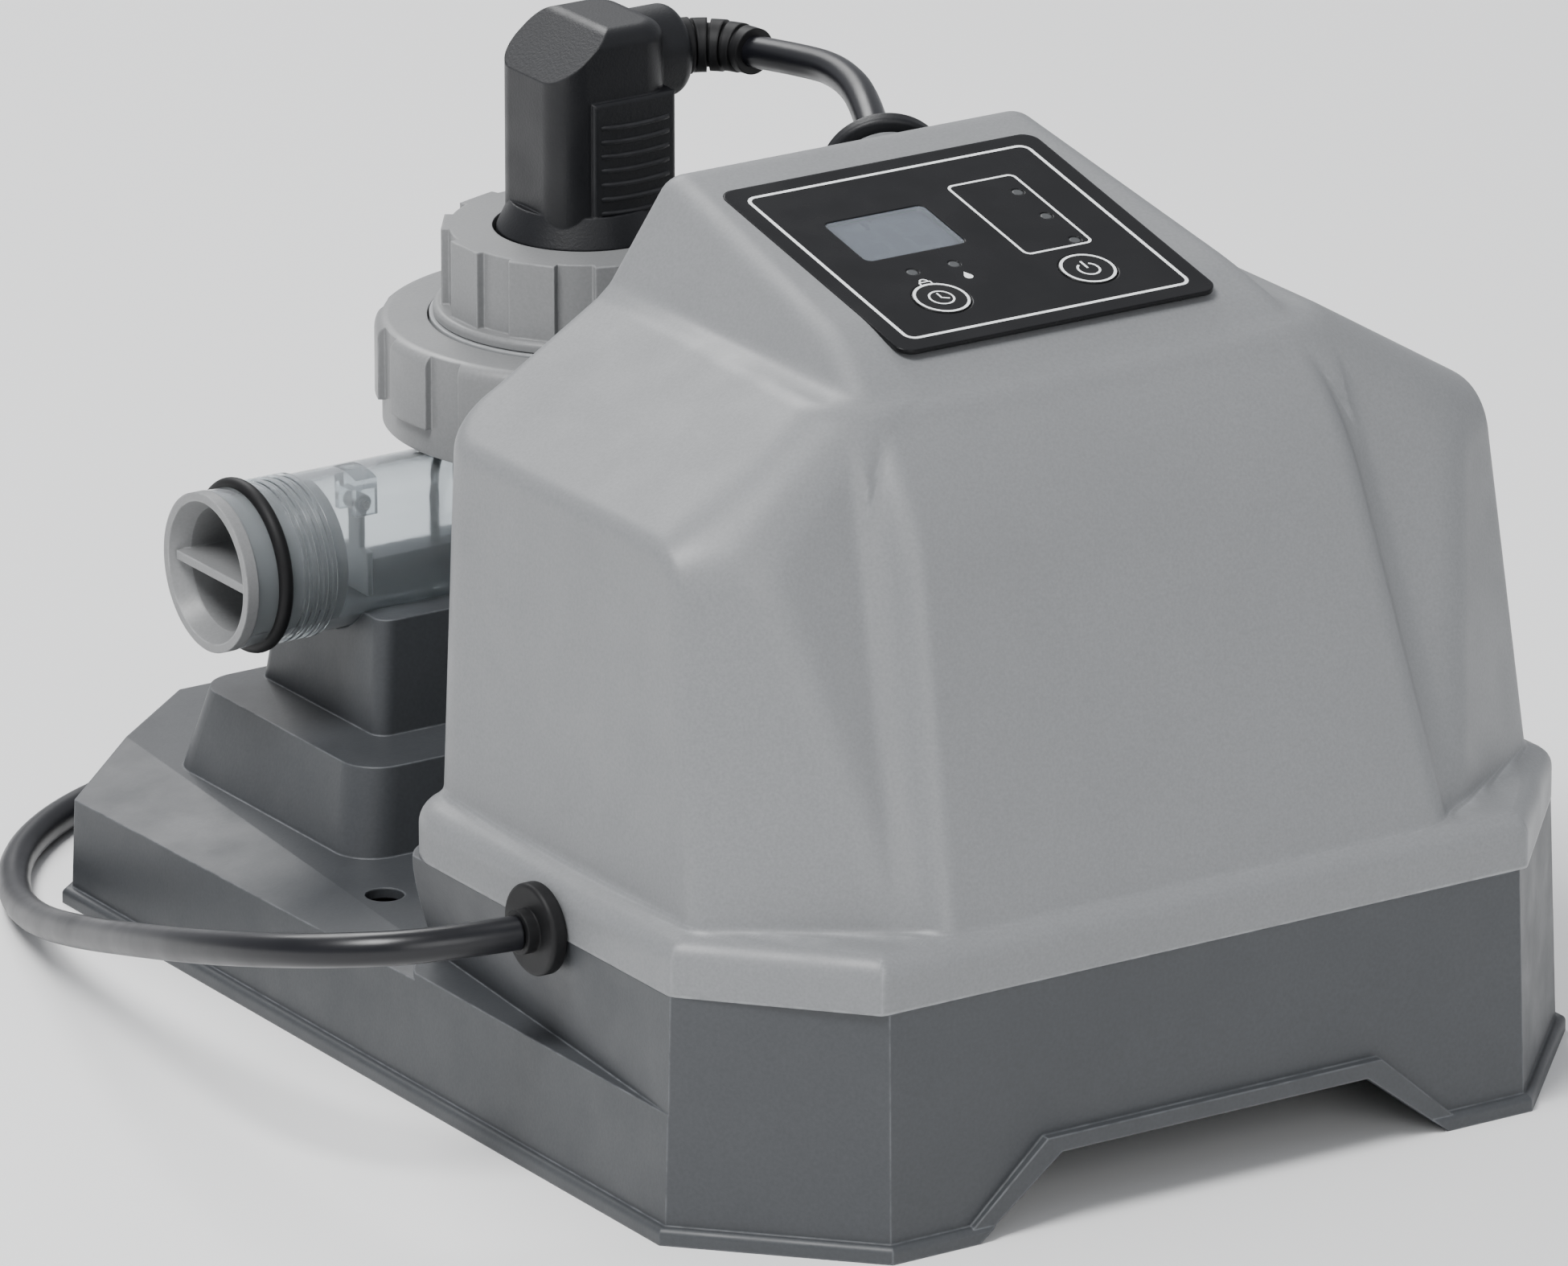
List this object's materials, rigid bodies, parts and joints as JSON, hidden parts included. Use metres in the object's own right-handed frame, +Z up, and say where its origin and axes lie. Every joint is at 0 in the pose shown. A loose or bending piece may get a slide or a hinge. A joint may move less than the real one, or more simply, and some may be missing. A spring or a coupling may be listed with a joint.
{
  "type": "salt chlorine generator",
  "caption": "Pool salt chlorine generator: a control unit under a moulded hood on a base tray, with a clear electrolytic cell, angled plug and power cord",
  "frame": {"origin": "on the ground at the middle of the base tray's footprint", "axes": "+X to the right seen from the control panel, +Y towards the cell at the back, +Z up"},
  "size_m": [0.3856, 0.4818, 0.214],
  "materials": {
    "dark_moulding": "satin with fine moulded grain",
    "grey_moulding": "satin light grey with fine speckle",
    "light_moulding": "smooth satin",
    "clear_moulding": "clear moulded plastic",
    "label_film": "glossy printed film",
    "display_lens": "tinted clear window",
    "display_digits": "segment display",
    "lamp_lens": "diffuse lamp lens",
    "circuit_board": "solder mask",
    "inner_black": "moulded",
    "screw_steel": "plated",
    "core_steel": "varnished laminations",
    "heat_sink_alloy": "extruded",
    "capacitor_sleeve": "shrunk sleeve",
    "coated_titanium": "coated plate",
    "black_rubber": "matte",
    "plug_black": "finely textured",
    "cord_jacket": "satin jacket",
    "pin_brass": "polished pins"
  },
  "bodies": {
    "unit": {"base_tray": "dark_moulding", "hood": "grey_moulding", "hood_screws": "screw_steel", "control_label": "label_film", "display_window": "display_lens", "display_board": "circuit_board", "digit_display": "display_digits", "indicator_lamps": "lamp_lens", "key_switches": "inner_black", "board_carrier": "dark_moulding", "power_board": "circuit_board", "board_screws": "screw_steel", "transformer": "core_steel", "heat_sink": "heat_sink_alloy", "capacitors": "capacitor_sleeve", "terminal_block": "inner_black", "cell_housing": "clear_moulding", "left_port_insert": "light_moulding", "right_port_insert": "light_moulding", "port_seals": "black_rubber", "neck_seal": "black_rubber", "cell_head": "light_moulding", "electrode_plates": "coated_titanium", "plate_holder": "light_moulding", "electrode_pins": "screw_steel", "flow_sensor": "clear_moulding", "paddle_pin": "screw_steel", "electrode_plug": "plug_black", "plug_relief": "black_rubber", "electrode_cable": "cord_jacket", "cable_gland": "plug_black", "cord_grommet": "black_rubber", "power_cord": "cord_jacket", "cord_coil": "cord_jacket", "cord_tie": "black_rubber", "mains_plug": "plug_black", "plug_pins": "pin_brass"},
    "union_nut": {"union_nut": "grey_moulding"},
    "locking_collar": {"locking_collar": "grey_moulding"},
    "timer_key": {"timer_key": "label_film"},
    "power_key": {"power_key": "label_film"},
    "flow_paddle": {"flow_paddle": "light_moulding"}
  },
  "joints": [
    {"name": "union_nut_turn", "type": "hinge", "parent": "unit", "child": "union_nut", "pos_m": [0, 0.095, 0.125], "axis": [0, 0, 1], "continuous": true},
    {"name": "locking_collar_turn", "type": "hinge", "parent": "unit", "child": "locking_collar", "pos_m": [0, 0.095, 0.15], "axis": [0, 0, 1], "continuous": true},
    {"name": "timer_key_press", "type": "slide", "parent": "unit", "child": "timer_key", "axis": [0, -0.2164, 0.9763], "range_m": [-0.0004, 0], "stiffness_N_per_m": 600},
    {"name": "power_key_press", "type": "slide", "parent": "unit", "child": "power_key", "axis": [0, -0.2164, 0.9763], "range_m": [-0.0004, 0], "stiffness_N_per_m": 600},
    {"name": "flow_paddle_swing", "type": "hinge", "parent": "unit", "child": "flow_paddle", "pos_m": [-0.066, 0.095, 0.1025], "axis": [0, 1, 0], "range_deg": [0, 35]}
  ]
}
